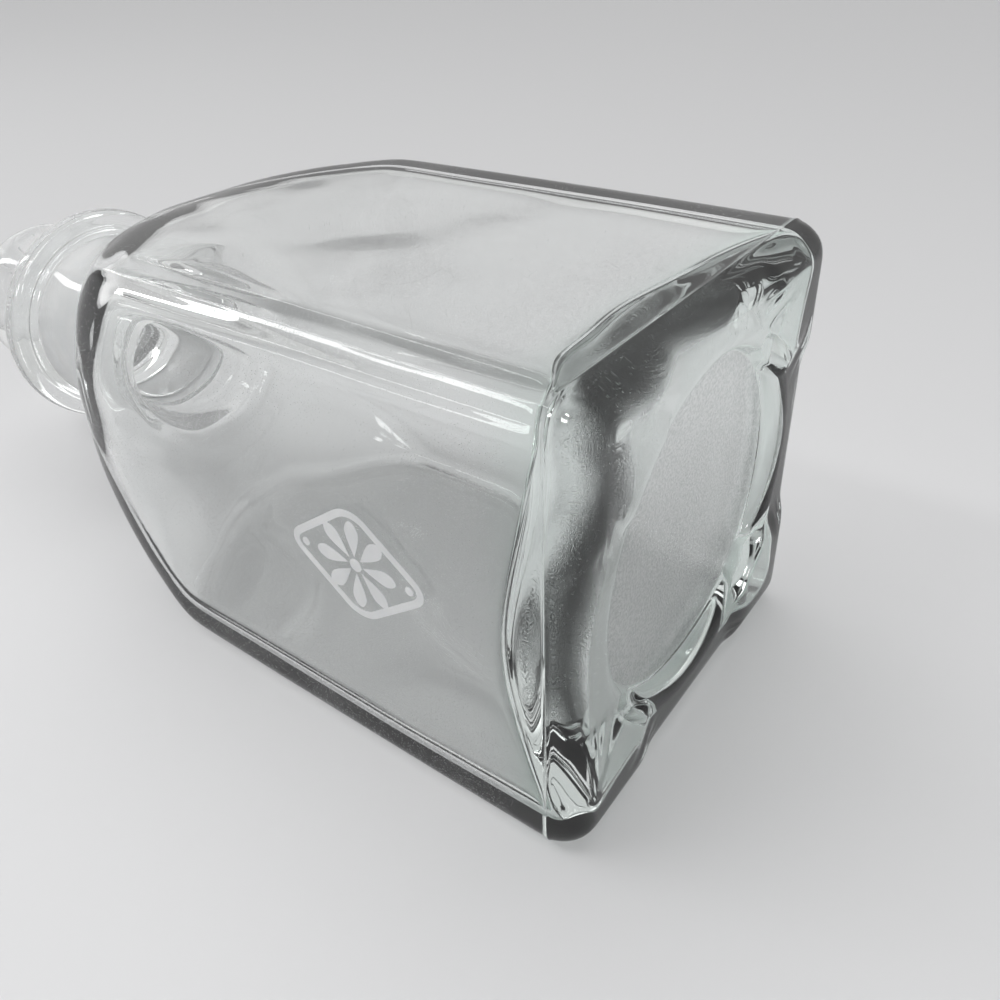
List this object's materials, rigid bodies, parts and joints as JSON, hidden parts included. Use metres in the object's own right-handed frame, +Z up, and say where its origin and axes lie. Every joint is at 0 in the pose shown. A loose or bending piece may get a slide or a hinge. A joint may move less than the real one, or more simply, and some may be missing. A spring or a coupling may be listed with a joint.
{
  "type": "decanter",
  "caption": "Square clear glass decanter with pillow shoulders, a round neck with a flanged lip, and a ball stopper that lifts out.",
  "frame": {"origin": "centre of the plane that the decanter stands on", "axes": "+Z up along the axis of the neck; -Y is the face with the etched ornament; the four sides face +X, -X, +Y and -Y"},
  "size_m": [0.09, 0.09, 0.2277],
  "materials": {
    "body_glass": "clear, fire polished",
    "stopper_glass": "clear, with a ground plug"
  },
  "bodies": {
    "decanter": {"decanter_body": "body_glass"},
    "stopper": {"ball_stopper": "stopper_glass"}
  },
  "joints": [
    {"name": "stopper_lift", "type": "slide", "parent": "decanter", "child": "stopper", "axis": [0, 0, 1], "range_m": [0, 0.07]}
  ]
}
